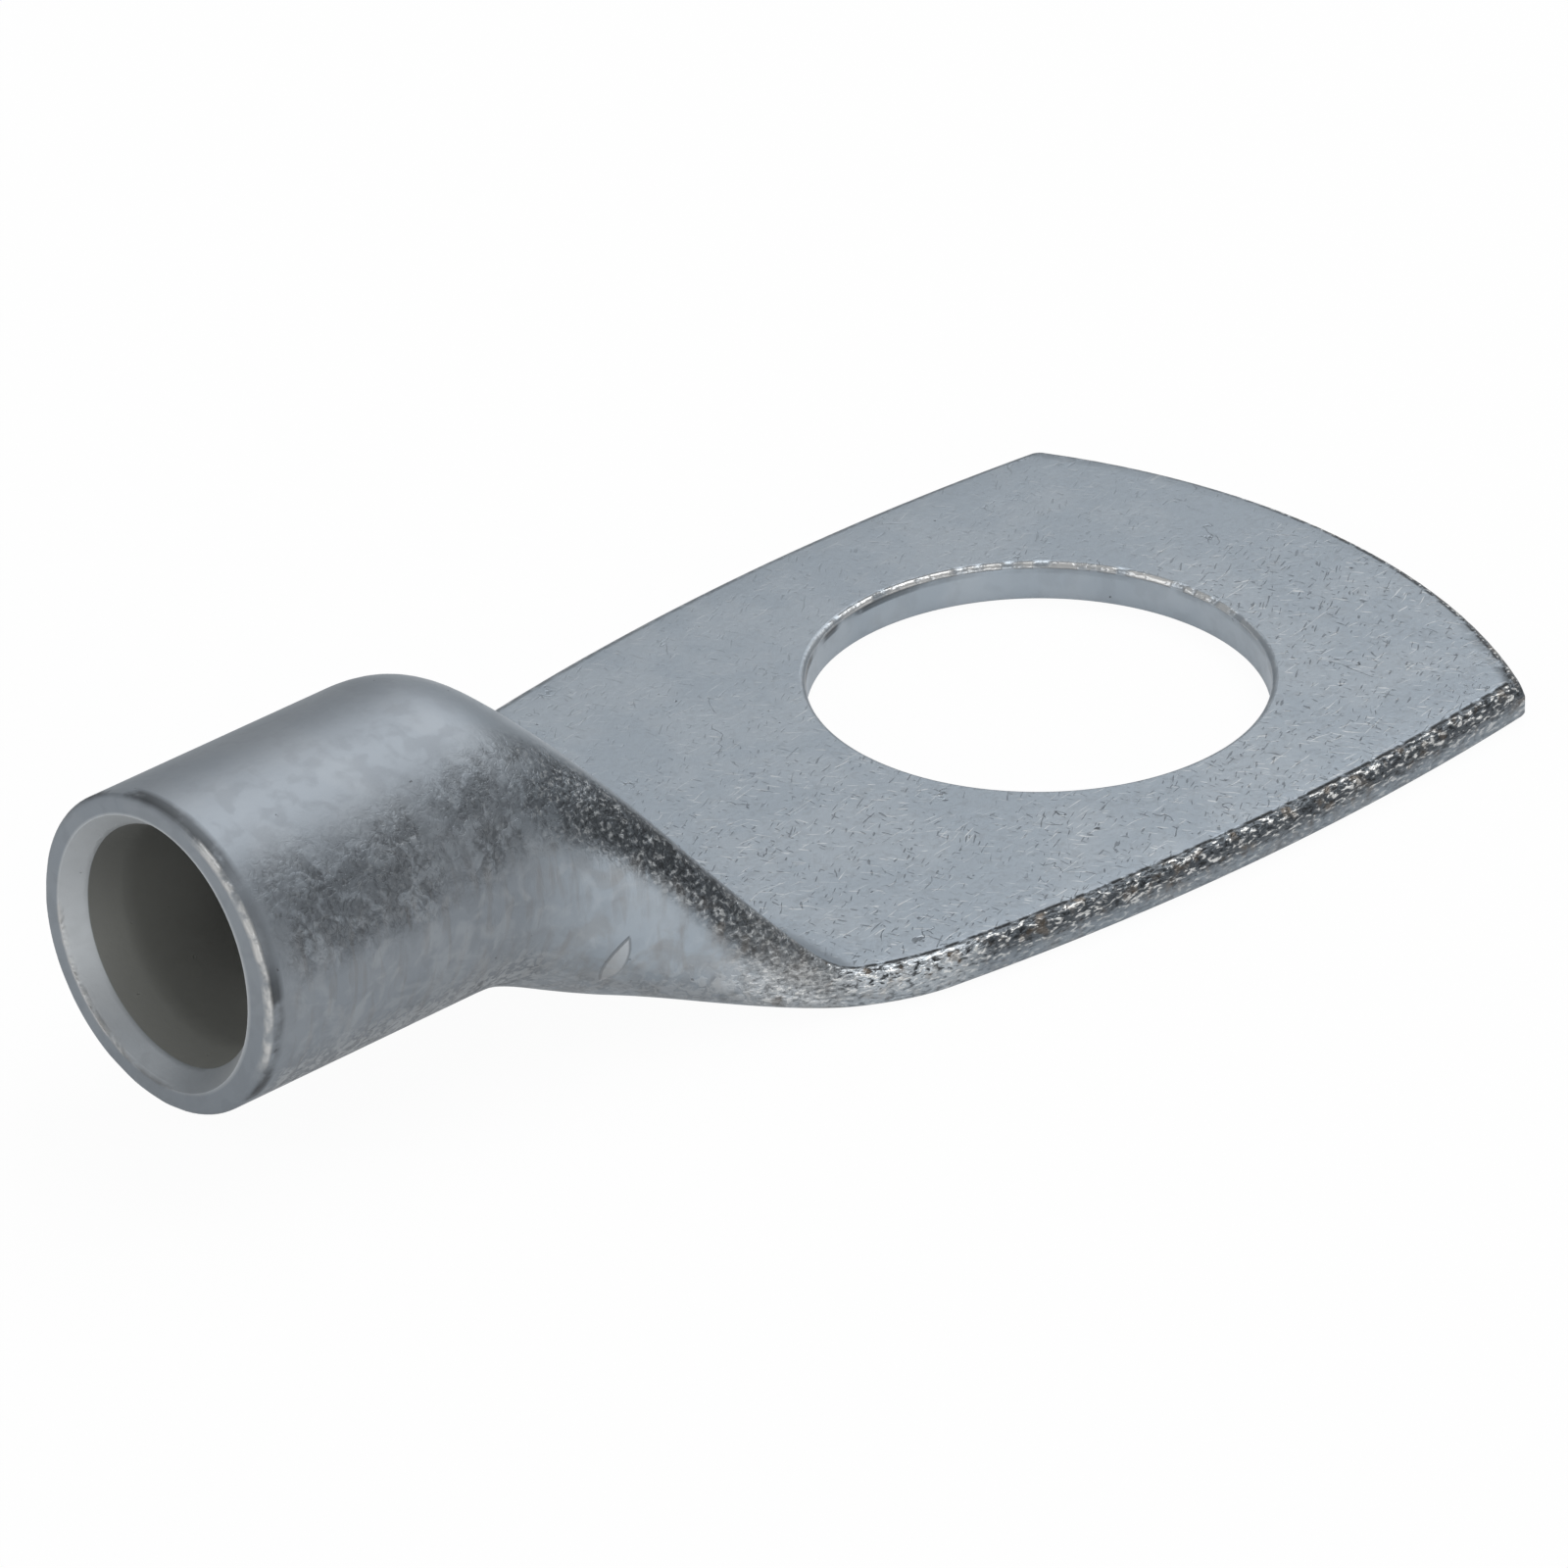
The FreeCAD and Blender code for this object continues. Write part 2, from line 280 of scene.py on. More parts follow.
class LugSizes(bpy.types.PropertyGroup):
    """Sizes of the terminal: those of its solid, with a deeper countersink and a lead into the bore."""
    hole_radius: length_property("Stud Hole Radius", "Radius of the hole for the stud", 6.5)
    thickness: length_property("Palm Thickness", "Thickness of the flat palm", 1.15)
    half_width: length_property("Palm Half Width", "Half of the palm's greatest width", 10.37)
    side_arc: length_property("Side Arc Radius", "Radius of the palm's bowed sides", 80.0)
    tip_reach: length_property("Tip Reach", "From the hole's middle to the palm's tip", 12.02)
    tip_arc: length_property("Tip Arc Radius", "Radius of the palm's bowed tip", 19.45)
    barrel_radius: length_property("Barrel Radius", "Outer radius of the tube", 4.54)
    wall: length_property("Barrel Wall", "Thickness of the tube's wall", 1.32)
    lift: length_property("Barrel Lift", "How far the barrel stands clear of the ground", 0.8)
    barrel_length: length_property("Barrel Length", "Length of the round tube", 9.2)
    neck_length: length_property("Neck Length", "Length over which the tube is pressed flat", 10.9)
    flat_start: length_property("Flat Start", "From the hole's middle back to where the sides flare", 12.4)
    crease: length_property("Crease", "From the hole's middle back to the neck's top", 15.234)
    crease_blend: length_property("Crease Blend", "Half of the run-out of the neck's top on the palm", 0.5)
    entry_width: length_property("Entry Width", "From the bore out to the countersink's edge", 0.726)
    entry_depth: length_property("Entry Depth", "Depth of the countersink at the mouth", 0.62)
    lead_width: length_property("Lead Width", "How much wider the bore starts", 0.26)
    lead_length: length_property("Lead Length", "Length over which the bore narrows", 1.1)
    rim_radius: length_property("Rim Radius", "Rounding of the mouth's outer rim", 0.145)


class LugFinish(bpy.types.PropertyGroup):
    """Colours and strengths of the tin plating, some of which also paint light and shade."""
    tin: colour_property("Tin", "Clean tin plating", (0.37, 0.42, 0.47))
    # Bright Tin also paints the sheen on the bent corners
    bright: colour_property("Bright Tin", "Burnished tin", (0.66, 0.68, 0.69))
    # Glints are painted: bright facets on the sheared edge and the bent corners, with fresh ticks on the
    # palm
    shine: colour_property("Glints", "Bright facets and fresh ticks", (0.92, 0.92, 0.90))
    # Cut also paints the highlights on the mouth's rim and the stud hole's rolled edge, and the painted
    # light deeper in the bore
    cut: colour_property("Cut", "Countersink, burrs and rolled edges", (0.64, 0.64, 0.63))
    dull: colour_property("Dull Tin", "Plating that has gone grey", (0.205, 0.212, 0.224))
    # Tarnish also paints shade: the dark reflection on the shoulder, the sheared edge and the lip, the
    # shadow lines at the mouth and the stud hole, and the top of the bore
    tarnish_and_shade: colour_property("Tarnish", "Dark specks, cracks and worn lines", (0.03, 0.032, 0.034))
    stain: colour_property("Stain", "Warm brown stain in the bent corners", (0.20, 0.16, 0.12))
    bore: colour_property("Bore", "Inside of the tube", (0.27, 0.273, 0.255))
    roughness: factor_property("Roughness", "Roughness of the clean plating", 0.42)
    grain: length_property("Grain Depth", "Depth of the grain of the plating", 0.03)


class StudioLook(bpy.types.PropertyGroup):
    """Lights, floor and lens."""
    floor: colour_property("Floor", "Colour of the floor", (0.90, 0.90, 0.90))
    lens: bpy.props.FloatProperty(name="Lens", description="Focal length of the camera",
                                  default=315.0, min=1.0, unit="CAMERA")


def neck_start(s):
    """X at which the round barrel ends."""
    return -s.flat_start - s.neck_length


def neck_share(s, x):
    """How far x lies along the neck, from 0 at the barrel to 1 at the flare."""
    return (x + s.flat_start + s.neck_length) / s.neck_length


def mouth_place(s):
    """X of the mouth's face."""
    return neck_start(s) - s.barrel_length


def axis_height(s):
    """Height of the tube's axis."""
    return s.lift + s.barrel_radius


def fall_start(s):
    """X at which the top starts to fall, a little before the neck."""
    return -s.flat_start - s.neck_length * (1.0 + FALL_LEAD_SHARE)


def half_width_at(s, x):
    """Half width at x: the palm's bowed side, drawn in towards the barrel along the neck."""
    palm = s.half_width - s.side_arc + math.sqrt(s.side_arc ** 2 - x ** 2)
    return between(s.barrel_radius, palm, press(neck_share(s, x), *WIDTH_POWERS))


def tip_corner(s):
    """Where a bowed side meets the bowed tip, as two circles cross."""
    tip_x = s.tip_reach - s.tip_arc
    side_y = s.half_width - s.side_arc
    gap = math.hypot(tip_x, side_y)
    along = (s.tip_arc ** 2 - s.side_arc ** 2 + gap ** 2) / (2.0 * gap)
    across = math.sqrt(s.tip_arc ** 2 - along ** 2)
    step_x = -tip_x / gap
    step_y = side_y / gap
    return tip_x + along * step_x - across * step_y, along * step_y + across * step_x


def round_ring(centre_z, radius):
    """Points (y, z) of the tube's circle, in the order of flat_ring."""
    spans = (LEVEL_STEPS, CORNER_STEPS, SIDE_STEPS, CORNER_STEPS) * 2
    starts = []
    for middle in (-math.pi / 2, 0.0, math.pi / 2, math.pi):
        starts += [middle - JOINT_ANGLE, middle + JOINT_ANGLE]
    starts.append(starts[0] + 2.0 * math.pi)
    ring = []
    for number, steps in enumerate(spans):
        for step in range(steps):
            turn = between(starts[number], starts[number + 1], step / steps)
            ring.append((radius * math.cos(turn), centre_z + radius * math.sin(turn)))
    return ring


def flat_ring(half_width, bottom, top, under, over):
    """Points (y, z) of a pressed section: level below and above, round at its corners."""
    low = bottom + under[1]
    high = top - over[1]
    under_run = half_width - under[0]
    over_run = half_width - over[0]
    ring = []

    def line(start, end, steps):
        for step in range(steps):
            ring.append((between(start[0], end[0], step / steps), between(start[1], end[1], step / steps)))

    def arc(y, z, reach, start):
        for step in range(CORNER_STEPS):
            turn = start + math.pi / 2 * step / CORNER_STEPS
            ring.append((y + reach[0] * math.cos(turn), z + reach[1] * math.sin(turn)))

    line((-under_run, bottom), (under_run, bottom), LEVEL_STEPS)
    arc(under_run, low, under, -math.pi / 2)
    line((half_width, low), (half_width, high), SIDE_STEPS)
    arc(over_run, high, over, 0.0)
    line((over_run, top), (-over_run, top), LEVEL_STEPS)
    arc(-over_run, high, over, math.pi / 2)
    line((-half_width, high), (-half_width, low), SIDE_STEPS)
    arc(-under_run, low, under, math.pi)
    return ring


def neck_top(s, x):
    """Height of the neck's top: a steep fall from the barrel that runs out level on the palm."""
    blend_x = -s.crease - s.crease_blend
    share = (min(x, blend_x) - fall_start(s)) / (-s.crease - fall_start(s))
    rise = (s.lift + 2.0 * s.barrel_radius - s.thickness) * (1.0 - press(share, *FALL_POWERS))
    left = min(max((s.crease_blend - s.crease - x) / (2.0 * s.crease_blend), 0.0), 1.0)
    return s.thickness + rise * left ** 2


def neck_bottom(s, x):
    """Height of the neck's underside, which comes down from the barrel to the palm's level."""
    return s.lift * (1.0 - smooth(neck_share(s, x) / LIFT_END_SHARE))


def squared_ring(oval, flat, x, start_x):
    """Passes from an oval to a pressed section over the first stretch after start_x."""
    squared = smooth((x - start_x) / SQUARE_RUN)
    return [Vector((x, between(oval_y, y, squared), between(oval_z, z, squared)))
            for (oval_y, oval_z), (y, z) in zip(oval, flat)]


def oval_ring(half_width, bottom, top):
    """Points (y, z) of the tube's circle, squeezed to a width and height."""
    return [(y * half_width, between(bottom, top, 0.5 + 0.5 * z)) for y, z in round_ring(0.0, 1.0)]


def neck_ring(s, x):
    """Section of the neck at x, squarer the further it is pressed, above sooner than below."""
    share = neck_share(s, x)
    half = half_width_at(s, x)
    bottom = neck_bottom(s, x)
    top = neck_top(s, x)
    over_round = 1.0 - press(share / OVER_END_SHARE, *OVER_POWERS)
    under_round = 1.0 - press(share / UNDER_END_SHARE, *UNDER_POWERS)
    over_z = (top - bottom) * between(SHOULDER_SHARE, TUBE_SHOULDER_SHARE, over_round)
    under_z = (top - bottom) * between(UNDER_SHARE, TUBE_UNDER_SHARE, under_round)
    over = (between(over_z, TUBE_CORNER_REACH * half, over_round), over_z)
    under = (between(under_z, TUBE_CORNER_REACH * half, under_round), under_z)
    flat = flat_ring(half, bottom, top, under, over)
    return squared_ring(oval_ring(half, bottom, top), flat, x, fall_start(s))


def tube_ring(s, x, radius):
    """Round section of the tube, inside or out."""
    return [Vector((x, y, z)) for y, z in round_ring(axis_height(s), radius)]


def opening_radii(s):
    """Radii of the bore, of the end of its lead and of the countersink's edge."""
    bore = s.barrel_radius - s.wall
    return bore, bore + s.lead_width, bore + s.entry_width


def opening_ring(s, x, radius, share):
    """Ring of the opening, drawn in on the side where the wall is thicker."""
    ring = tube_ring(s, x, radius)
    for point in ring:
        if point.y < 0.0:
            point.y *= 1.0 - share * OPENING_LEAN
    return ring


def rim_ring(s, turn):
    """Ring of the mouth's rounded rim, set back unevenly where it is worn."""
    back = s.rim_radius * (1.0 - math.cos(turn))
    ring = tube_ring(s, mouth_place(s) + back, s.barrel_radius - s.rim_radius * (1.0 - math.sin(turn)))
    for point in ring:
        point.x += RIM_WEAR * max(noise.noise(point / RIM_WEAR_SIZE), 0.0) * math.sin(turn)
    return ring


def closing_ring(s, share):
    """Section of the bore where the neck pinches it to a slit."""
    x = neck_start(s) + s.neck_length * share * BORE_CLOSE_SHARE
    axis_z = axis_height(s)
    radius = s.barrel_radius - s.wall
    closed = press(share, *CLOSE_POWERS)
    slit_z = between(s.thickness, axis_z, SLIT_RISE_SHARE)
    half = half_width_at(s, x) - s.wall
    bottom = between(axis_z - radius, slit_z - SLIT_HALF_GAP, closed)
    top = between(axis_z + radius, slit_z + SLIT_HALF_GAP, closed)
    corner_z = SLIT_CORNER_SHARE * (top - bottom)
    corner = (between(BORE_CORNER_REACH * half, 0.5 * (top - bottom), closed), corner_z)
    flat = flat_ring(half, bottom, top, corner, corner)
    return squared_ring(oval_ring(half, bottom, top), flat, x, neck_start(s))


def palm_ring(s, share, turn):
    """Section of the palm from the flare to the tip, bowed forwards by its share of the tip's arc.

    Turn rolls the section over the tip's edge, from 0 on the flat to a quarter turn.
    """
    corner_x, corner_y = tip_corner(s)
    side_x = between(-s.flat_start, corner_x, share)
    half_width = half_width_at(s, side_x)
    shoulder = SHOULDER_SHARE * s.thickness
    under = UNDER_SHARE * s.thickness
    top = s.thickness - shoulder * (1.0 - math.cos(turn))
    bottom = under * (1.0 - math.cos(turn))
    flat = flat_ring(half_width, bottom, top, (under, max(under - bottom, LEAST_ROUND)),
                     (shoulder, max(shoulder - (s.thickness - top), LEAST_ROUND)))
    ring = []
    for y, z in flat:
        tip_x = s.tip_reach - s.tip_arc + math.sqrt(s.tip_arc ** 2 - (y * corner_y / half_width) ** 2)
        x = between(-s.flat_start, tip_x, share)
        height = smooth((z - bottom) / (top - bottom))
        setback = between(under, shoulder, height) * (1.0 - math.sin(turn))
        ring.append(Vector((x - setback * share, y, z)))
    return ring


def lug_rings(s):
    """Every ring of the shell, from the closed end of the bore out to the palm's tip."""
    mouth_x = mouth_place(s)
    entry_x = mouth_x + s.entry_depth
    lead_x = entry_x + s.lead_length
    bore, lead, entry = opening_radii(s)
    face_edge = s.barrel_radius - s.rim_radius
    rim_x = mouth_x + s.rim_radius
    fall_x = fall_start(s)
    rings = [closing_ring(s, share) for share in steps_of(1.0, 0.0, STEPS["closing"])]
    rings += [tube_ring(s, x, bore) for x in steps_of(neck_start(s), lead_x, STEPS["bore"])]
    for share in steps_of(0.0, LEAD_LAST_SHARE, STEPS["lead"]) + [1.0]:
        x = entry_x + s.lead_length * (1.0 - share)
        rings.append(opening_ring(s, x, between(bore, lead, share), share))
    for share in steps_of(0.0, 1.0, STEPS["entry"]):
        x = mouth_x + s.entry_depth * (1.0 - share)
        rings.append(opening_ring(s, x, between(lead, entry, share), 1.0))
    for share in steps_of(0.0, 1.0, STEPS["face"]):
        rings.append(opening_ring(s, mouth_x, between(entry, face_edge, share), 1.0 - share))
    rings += [rim_ring(s, turn) for turn in steps_of(0.0, math.pi / 2, STEPS["rim"])]
    rings += [tube_ring(s, x, s.barrel_radius) for x in steps_of(rim_x, fall_x, STEPS["barrel"])]
    rings += [neck_ring(s, x) for x in steps_of(fall_x, -s.flat_start, STEPS["neck"])]
    rings += [palm_ring(s, share, 0.0) for share in steps_of(0.0, 1.0, STEPS["palm"])]
    rings += [palm_ring(s, 1.0, turn) for turn in steps_of(0.0, math.pi / 2, STEPS["roll"])]
    return rings


def shell_from_rings(mesh, rings):
    """Extrudes one loop of edges from ring to ring and closes both ends."""
    made = bmesh.new()
    first = [made.verts.new(point) for point in rings[0]]
    edges = [made.edges.new((first[i - 1], first[i])) for i in range(len(first))]
    start_edges = list(edges)
    loop = first
    for ring in rings[1:]:
        result = bmesh.ops.extrude_edge_only(made, edges=edges)
        fresh = [item for item in result["geom"] if isinstance(item, bmesh.types.BMVert)]
        followers = {}
        fresh_set = set(fresh)
        for vert in loop:
            for edge in vert.link_edges:
                other = edge.other_vert(vert)
                if other in fresh_set:
                    followers[vert] = other
        loop = [followers[vert] for vert in loop]
        for vert, point in zip(loop, ring):
            vert.co = point
        edges = [item for item in result["geom"] if isinstance(item, bmesh.types.BMEdge)
                 and item.verts[0] in fresh_set and item.verts[1] in fresh_set]
    bmesh.ops.contextual_create(made, geom=start_edges)
    made.verts.index_update()
    upper = []
    lower = []
    place = {vert: number for number, vert in enumerate(loop)}
    over_start = LEVEL_STEPS + 2 * CORNER_STEPS + SIDE_STEPS
    for edge in edges:
        numbers = sorted((place[edge.verts[0]], place[edge.verts[1]]))
        if numbers[1] <= LEVEL_STEPS and numbers[1] - numbers[0] == 1:
            lower.append(edge)
        if over_start <= numbers[0] and numbers[1] <= over_start + LEVEL_STEPS:
            upper.append(edge)
    bmesh.ops.bridge_loops(made, edges=lower + upper)
    bmesh.ops.holes_fill(made, edges=[edge for edge in made.edges if edge.is_boundary], sides=0)
    bmesh.ops.recalc_face_normals(made, faces=made.faces)
    made.to_mesh(mesh)
    made.free()


def hole_cutter(s):
    """Turned tool that leaves the stud hole with its upper edge rolled over."""
    roll = HOLE_ROLL_SHARE * s.thickness
    made = bmesh.new()
    profile = [(0.0, -s.thickness), (s.hole_radius + HOLE_FOOT_RELIEF, -s.thickness),
               (s.hole_radius + HOLE_FOOT_RELIEF, 0.0), (s.hole_radius, HOLE_FOOT)]
    profile += [(s.hole_radius, share * s.thickness) for share in HOLE_WALL_HEIGHTS]
    for turn in steps_of(0.0, HOLE_ROLL_TURN, STEPS["roll"]):
        radius = s.hole_radius + roll * (1.0 - math.cos(turn))
        profile.append((radius, s.thickness - roll + roll * math.sin(turn)))
    brim_radius, brim_z = profile[-1]
    tool_top = brim_z + s.thickness * TOOL_RISE_SHARE
    profile += [(brim_radius + s.thickness * TOOL_SPREAD_SHARE, tool_top), (0.0, tool_top)]
    verts = [made.verts.new((radius, 0.0, z)) for radius, z in profile]
    edges = [made.edges.new(pair) for pair in zip(verts[:-1], verts[1:])]
    bmesh.ops.spin(made, geom=verts + edges, cent=(0, 0, 0), axis=(0, 0, 1), angle=2.0 * math.pi,
                   steps=TOOL_STEPS, use_merge=True)
    bmesh.ops.remove_doubles(made, verts=made.verts, dist=1e-7)
    bmesh.ops.recalc_face_normals(made, faces=made.faces)
    mesh = bpy.data.meshes.new("hole_tool")
    made.to_mesh(mesh)
    made.free()
    tool = bpy.data.objects.new("hole_tool", mesh)
    bpy.context.scene.collection.objects.link(tool)
    return tool


def sharpen_brim(mesh, s):
    """Keeps the shading of the palm level up to the rolled edge of the stud hole."""
    reach = s.hole_radius + HOLE_RIM_SHARE * s.thickness
    level = BRIM_LEVEL_SHARE * s.thickness
    for edge in mesh.edges:
        ends = [mesh.vertices[number].co for number in edge.vertices]
        if all(math.hypot(end.x, end.y) < reach and end.z > level for end in ends):
            edge.use_edge_sharp = True


def cut_hole(piece, tool):
    """Takes the tool's shape out of the piece for good."""
    cut = piece.modifiers.new("stud_hole", "BOOLEAN")
    cut.operation = "DIFFERENCE"
    cut.solver = "EXACT"
    cut.object = tool
    graph = bpy.context.evaluated_depsgraph_get()
    finished = bpy.data.meshes.new_from_object(piece.evaluated_get(graph))
    piece.modifiers.clear()
    piece.data = finished
    bpy.data.objects.remove(tool)


class Graph:
    """Short ways to add nodes to one shader tree and join them."""

    def __init__(self, tree):
        self.tree = tree

    def add(self, kind, inputs, **settings):
        """New node; each of its inputs is given a value or another node's socket."""
        node = self.tree.nodes.new("ShaderNode" + kind)
        for name, value in settings.items():
            setattr(node, name, value)
        for slot, value in inputs.items():
            if isinstance(value, bpy.types.NodeSocket):
                self.tree.links.new(value, node.inputs[slot])
            else:
                node.inputs[slot].default_value = value
        return node

    def math(self, operation, first, second=0.0):
        """Result of one step of arithmetic."""
        return self.add("Math", {0: first, 1: second}, operation=operation).outputs[0]

    def product(self, *values):
        """All the values times each other."""
        result = values[0]
        for value in values[1:]:
            result = self.math("MULTIPLY", result, value)
        return result

    def span(self, value, low, high, start=0.0, end=1.0):
        """Value that goes smoothly from start to end as another one goes from low to high."""
        limits = {0: value, 1: low, 2: high, 3: start, 4: end}
        return self.add("MapRange", limits, interpolation_type="SMOOTHSTEP").outputs[0]

    def noise(self, vector, size, detail=2.0, distortion=0.0):
        """Noise whose patches are about size wide, in the unit of its vector."""
        values = {"Vector": vector, "Scale": self.math("DIVIDE", 1.0, size), "Detail": detail,
                  "Distortion": distortion}
        return self.add("TexNoise", values).outputs[0]

    def blend(self, share, first, second):
        """Colour that lies a share of the way from the first to the second."""
        return self.add("MixRGB", {0: share, 1: first, 2: second}).outputs[0]


def new_group(name, values, outputs):
    """Shader node group with a vector and some numbers as inputs; returns it, its graph and both ends."""
    group = bpy.data.node_groups.new(name, "ShaderNodeTree")
    group.interface.new_socket("Vector", in_out="INPUT", socket_type="NodeSocketVector")
    for label, value in values.items():
        socket = group.interface.new_socket(label, in_out="INPUT", socket_type="NodeSocketFloat")
        socket.default_value = value
    for label in outputs:
        group.interface.new_socket(label, in_out="OUTPUT", socket_type="NodeSocketFloat")
    start = group.nodes.new("NodeGroupInput")
    end = group.nodes.new("NodeGroupOutput")
    return group, Graph(group), start.outputs, end.inputs


def mottle_group():
    """Soft cloudy patches, for stains and dull places."""
    values = {"Size": 1.0, "Twist": 0.0, "Cover": 0.5}
    group, graph, given, result = new_group("tin_mottle", values, ["Mask"])
    patches = graph.noise(given["Vector"], given["Size"], 3.0, given["Twist"])
    edge = graph.math("SUBTRACT", 0.86, graph.product(given["Cover"], 0.62))
    mask = graph.span(patches, graph.math("SUBTRACT", edge, 0.13), graph.math("ADD", edge, 0.05))
    graph.tree.links.new(mask, result["Mask"])
    return group


def scratch_group():
    """Short scratches that run about one way."""
    values = {"Turn": 0.0, "Length": 0.6, "Width": 0.05, "Cover": 0.3}
    group, graph, given, result = new_group("tin_scratches", values, ["Mask"])
    turn = graph.add("CombineXYZ", {"Z": given["Turn"]}).outputs[0]
    scale = graph.add("CombineXYZ", {"X": given["Length"], "Y": given["Width"], "Z": 0.5}).outputs[0]
    drift = graph.add("TexNoise", {"Vector": given["Vector"], "Scale": 0.45, "Detail": 1.0}).outputs[1]
    bent = graph.add("VectorMath", {0: drift, 1: (1.0, 1.0, 0.0), 2: given["Vector"]},
                     operation="MULTIPLY_ADD").outputs[0]
    along = graph.add("Mapping", {"Vector": bent, "Rotation": turn, "Scale": scale},
                      vector_type="TEXTURE").outputs[0]
    streaks = graph.noise(along, 1.0, 0.0)
    edge = graph.math("SUBTRACT", 0.84, graph.product(given["Cover"], 0.3))
    graph.tree.links.new(graph.span(streaks, edge, graph.math("ADD", edge, 0.05)), result["Mask"])
    return group


def crack_group():
    """Thin wandering lines, broken here and there."""
    values = {"Size": 4.0, "Width": 0.01, "Cover": 0.4}
    group, graph, given, result = new_group("tin_cracks", values, ["Mask"])
    field = graph.noise(given["Vector"], given["Size"], 4.0, 0.5)
    away = graph.math("ABSOLUTE", graph.math("SUBTRACT", field, 0.5))
    core = graph.product(given["Width"], 0.3)
    line = graph.math("SUBTRACT", 1.0, graph.span(away, core, given["Width"]))
    patches = graph.noise(given["Vector"], graph.product(given["Size"], 0.45), 1.0)
    edge = graph.math("SUBTRACT", 0.8, graph.product(given["Cover"], 0.6))
    kept = graph.span(patches, edge, graph.math("ADD", edge, 0.06))
    graph.tree.links.new(graph.product(line, kept), result["Mask"])
    return group


def speck_group():
    """Scattered small specks of uneven outline."""
    values = {"Spacing": 1.5, "Size": 0.08, "Share": 0.3}
    group, graph, given, result = new_group("tin_specks", values, ["Mask"])
    wobble = graph.add("TexNoise", {"Vector": given["Vector"], "Scale": 9.0, "Detail": 1.0}).outputs[1]
    shifted = graph.add("VectorMath", {0: wobble, "Scale": 0.14}, operation="SCALE").outputs[0]
    vector = graph.add("VectorMath", {0: given["Vector"], 1: shifted}, operation="ADD").outputs[0]
    scale = graph.math("DIVIDE", 1.0, given["Spacing"])
    cells = graph.add("TexVoronoi", {"Vector": vector, "Scale": scale})
    away = graph.product(cells.outputs["Distance"], given["Spacing"])
    core = graph.product(given["Size"], 0.5)
    spot = graph.math("SUBTRACT", 1.0, graph.span(away, core, given["Size"]))
    chance = graph.add("SeparateXYZ", {0: cells.outputs["Color"]}).outputs[0]
    kept = graph.math("LESS_THAN", chance, given["Share"])
    graph.tree.links.new(graph.product(spot, kept), result["Mask"])
    return group


def grain_group():
    """Crystalline grain: a height for the bump and masks of its bright and dark facets."""
    group, graph, given, result = new_group("tin_grain", {"Size": 0.1}, ["Height", "Bright", "Dark"])
    field = graph.noise(given["Vector"], given["Size"], 2.0, 0.4)
    graph.tree.links.new(field, result["Height"])
    graph.tree.links.new(graph.span(field, 0.53, 0.68), result["Bright"])
    graph.tree.links.new(graph.span(field, 0.47, 0.32), result["Dark"])
    return group


class Plating(Graph):
    """Builds up the colour and the height of the plating, mask by mask."""

    def __init__(self, tree, finish):
        super().__init__(tree)
        self.groups = {"mottle": mottle_group(), "scratches": scratch_group(), "cracks": crack_group(),
                       "specks": speck_group(), "grain": grain_group()}
        self.tone = {name: (*getattr(finish, name), 1.0) for name in TONES}
        self.mark = {name: self.add("Attribute", {}, attribute_name=name).outputs["Fac"] for name in MARKS}
        place = self.add("TexCoord", {}).outputs["Object"]
        self.vector = self.add("VectorMath", {0: place, "Scale": 1.0 / MM}, operation="SCALE").outputs[0]
        self.colour = self.tone["tin"]
        self.height = 0.0

    def placed(self, group, vector=None, **values):
        """Outputs of one of the shared groups, placed with its own values."""
        inputs = {"Vector": vector or self.vector, **values}
        return self.add("Group", inputs, node_tree=self.groups[group]).outputs

    def mask(self, group, vector=None, **values):
        """Mask of one of the shared groups."""
        return self.placed(group, vector, **values)["Mask"]

    def paint(self, tone, *masks):
        """Mixes a tone into the colour where all the masks are high."""
        self.colour = self.blend(self.product(*masks), self.colour, self.tone[tone])

    def lift(self, *masks):
        """Adds the product of the masks to the height."""
        self.height = self.math("ADD", self.height, self.product(*masks))


def paint_palm(plate):
    """Haze, ticks, cracks and specks that lie all over the plating; returns the haze."""
    mark = plate.mark
    haze = plate.mask("mottle", Size=2.2, Cover=0.5)
    plate.paint("bright", haze, 0.10)
    cloud = plate.mask("mottle", Size=0.6, Twist=0.3, Cover=0.45)
    plate.paint("dull", cloud, 0.09)
    freckle = plate.mask("mottle", Size=0.24, Twist=0.8, Cover=0.38)
    plate.paint("dull", freckle, mark["level"], 0.20)
    handled = plate.product(plate.mask("mottle", Size=2.2, Cover=0.75), mark["level"])
    dark_ticks = plate.mask("scratches", Turn=0.5, Length=0.42, Width=0.07, Cover=0.36)
    short_ticks = plate.mask("scratches", Turn=1.8, Length=0.28, Width=0.08, Cover=0.34)
    ticks = plate.product(plate.math("MAXIMUM", dark_ticks, short_ticks), handled)
    plate.paint("tarnish_and_shade", ticks, 0.42)
    light_ticks = plate.mask("scratches", Turn=-0.9, Length=0.45, Width=0.06, Cover=0.34)
    long_ticks = plate.mask("scratches", Turn=0.1, Length=0.8, Width=0.05, Cover=0.30)
    plate.paint("shine", plate.math("MAXIMUM", light_ticks, long_ticks), handled, 0.38)
    crack = plate.product(plate.mask("cracks", Size=3.2, Width=0.004, Cover=0.36),
                          mark["level"], 0.5)
    speck = plate.mask("specks", Spacing=1.7, Size=0.10, Share=0.20)
    soot = plate.mask("specks", Spacing=0.7, Size=0.05, Share=0.45)
    marks = plate.math("MAXIMUM", crack, plate.product(speck, 0.7))
    marks = plate.math("MAXIMUM", marks, plate.product(soot, 0.6))
    plate.paint("tarnish_and_shade", marks)
    plate.lift(marks, -0.8)
    plate.lift(ticks, -0.2)
    return cloud


